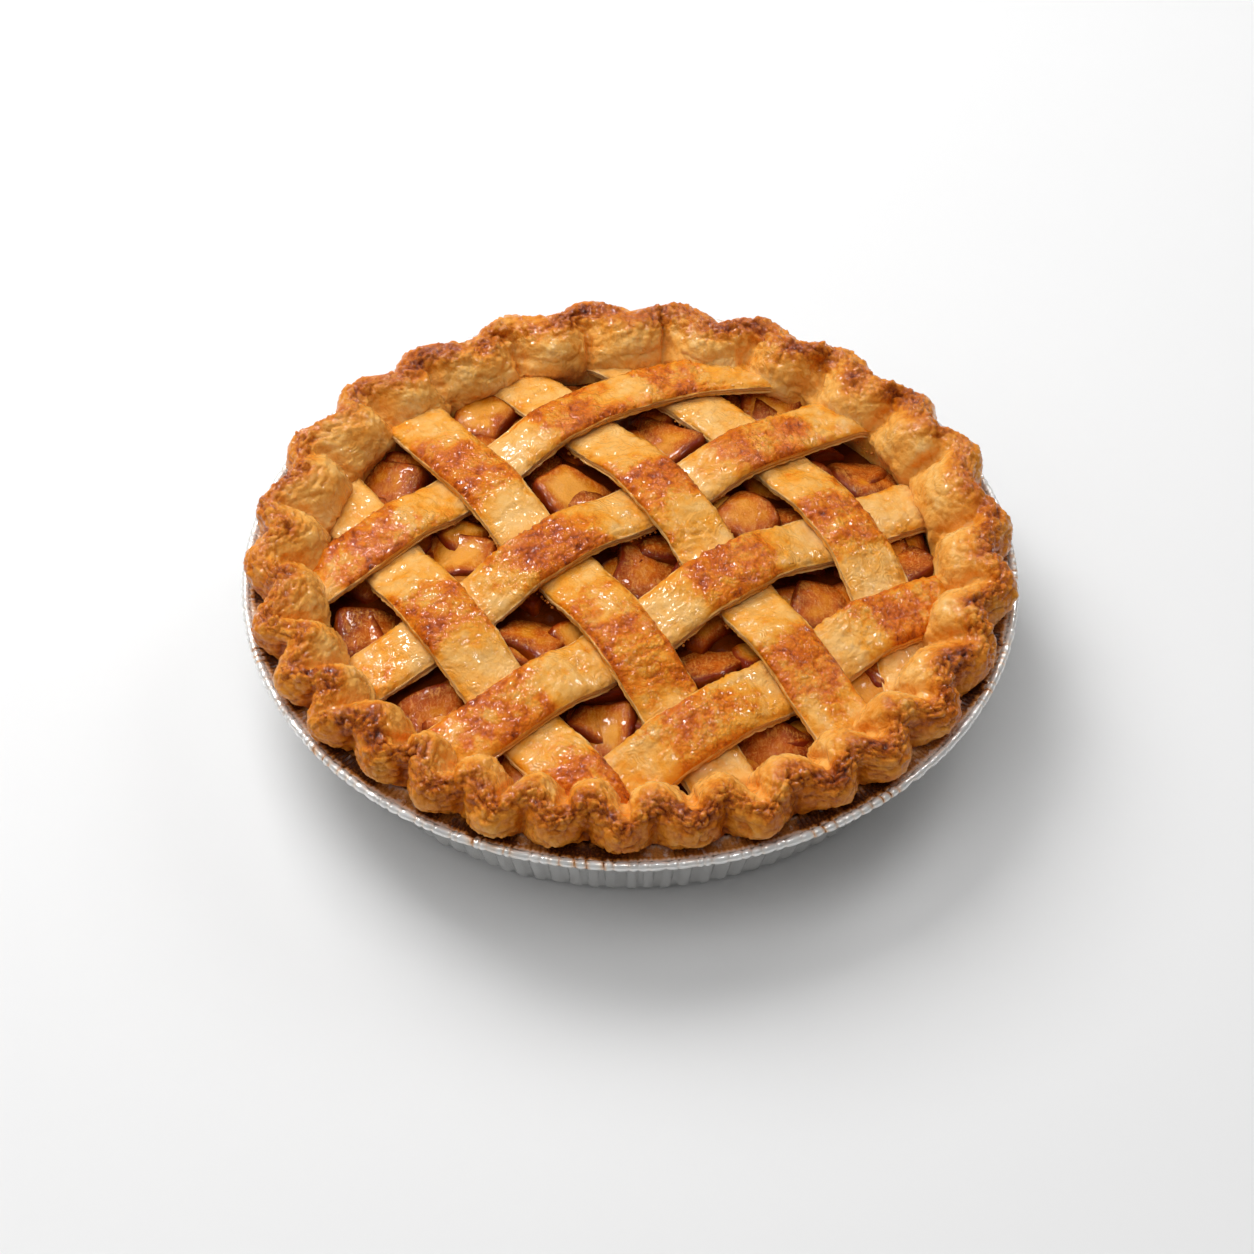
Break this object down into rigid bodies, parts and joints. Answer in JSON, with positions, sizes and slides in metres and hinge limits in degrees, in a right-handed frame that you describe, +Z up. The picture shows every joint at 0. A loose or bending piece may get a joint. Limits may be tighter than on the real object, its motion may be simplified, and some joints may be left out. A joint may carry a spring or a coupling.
{
  "type": "lattice apple pie in foil tin",
  "caption": "Baked apple pie with a woven pastry lattice and crimped crust, in a round pleated foil tin",
  "frame": {"origin": "centre of the flat underside of the foil tin's base", "axes": "+Z up, out of the pie; +X to the right and +Y away from the viewer in the source view"},
  "size_m": [0.2448, 0.2448, 0.0522],
  "materials": {
    "foil": "bright",
    "crust": "matte",
    "lattice": "satin",
    "apple": "gloss"
  },
  "bodies": {
    "root": {"foil_tin": "foil", "pastry_case": "crust", "filling": "apple", "strip_a1": "lattice", "strip_a2": "lattice", "strip_a3": "lattice", "strip_a4": "lattice", "strip_b1": "lattice", "strip_b2": "lattice", "strip_b3": "lattice", "strip_b4": "lattice"}
  },
  "joints": []
}
